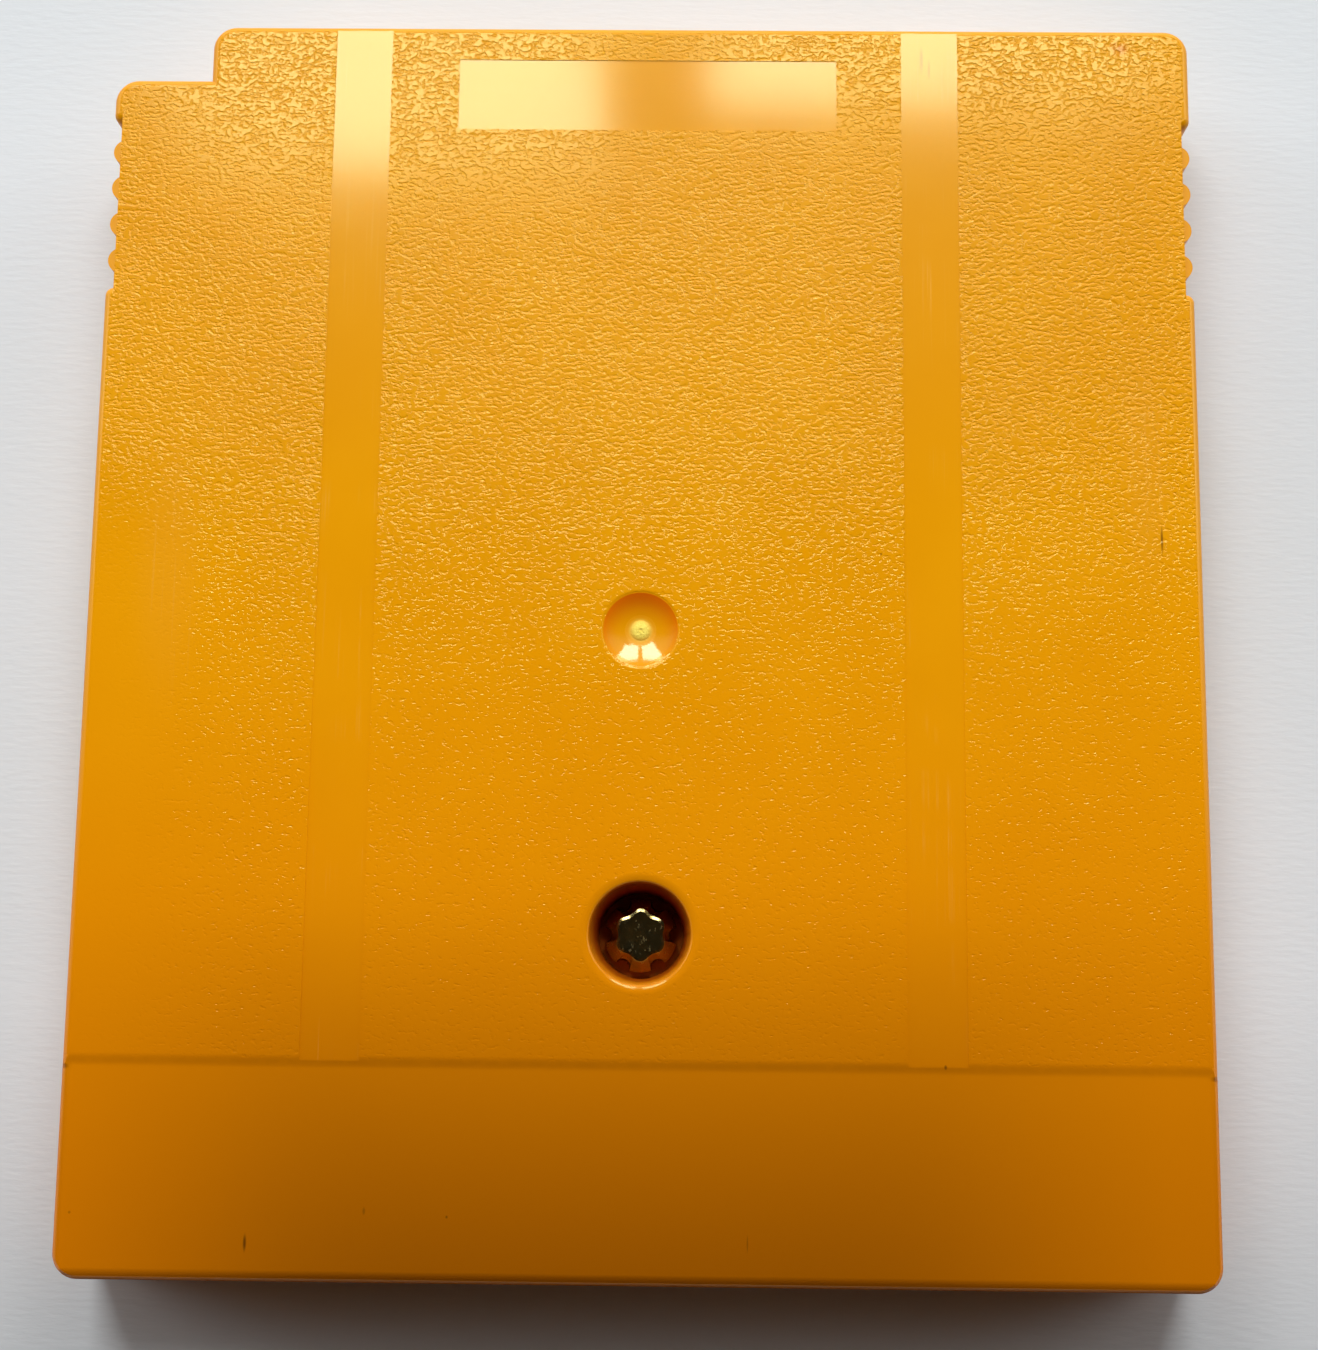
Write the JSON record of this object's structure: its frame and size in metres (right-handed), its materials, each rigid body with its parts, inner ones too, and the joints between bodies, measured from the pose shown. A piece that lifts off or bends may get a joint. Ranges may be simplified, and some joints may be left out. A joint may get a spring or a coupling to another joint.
{
  "type": "game cartridge",
  "caption": "Flat plastic game cartridge in two moulded halves, with a corner notch, side grips, a sunk security screw and an edge-connector slot at one end.",
  "frame": {"origin": "middle of the front face's bounding box, on the plane that the cartridge lies on", "axes": "+Z out of the rear face, +Y towards the end with the corner notch, -Y towards the connector end"},
  "size_m": [0.057, 0.065, 0.0076],
  "materials": {
    "case_plastic": "orange-yellow moulded plastic, grained rear face with smooth bands",
    "label_paper": "coated paper sticker with plain fields of colour",
    "screw_plating": "yellow passivated zinc plating on steel",
    "board_laminate": "green solder mask on glass-fibre laminate",
    "contact_gold": "gold flash on nickel",
    "chip_epoxy": "black moulding compound",
    "lead_tin": "tinned leads and terminals",
    "cell_steel": "nickel-plated steel can",
    "tab_nickel": "nickel strip",
    "capacitor_ceramic": "fired ceramic",
    "resistor_ceramic": "glazed ceramic"
  },
  "bodies": {
    "root": {"rear_shell": "case_plastic", "front_shell": "case_plastic", "front_label": "label_paper", "shell_screw": "screw_plating", "circuit_board": "board_laminate", "edge_contacts": "contact_gold", "rom_chip": "chip_epoxy", "rom_chip_leads": "lead_tin", "ram_chip": "chip_epoxy", "ram_chip_leads": "lead_tin", "bank_chip": "chip_epoxy", "bank_chip_leads": "lead_tin", "backup_chip": "chip_epoxy", "backup_chip_leads": "lead_tin", "battery_cell": "cell_steel", "battery_upper_tab": "tab_nickel", "battery_lower_tab": "tab_nickel", "capacitor_bodies": "capacitor_ceramic", "capacitor_terminals": "lead_tin", "resistor_bodies": "resistor_ceramic", "resistor_terminals": "lead_tin"}
  },
  "joints": []
}
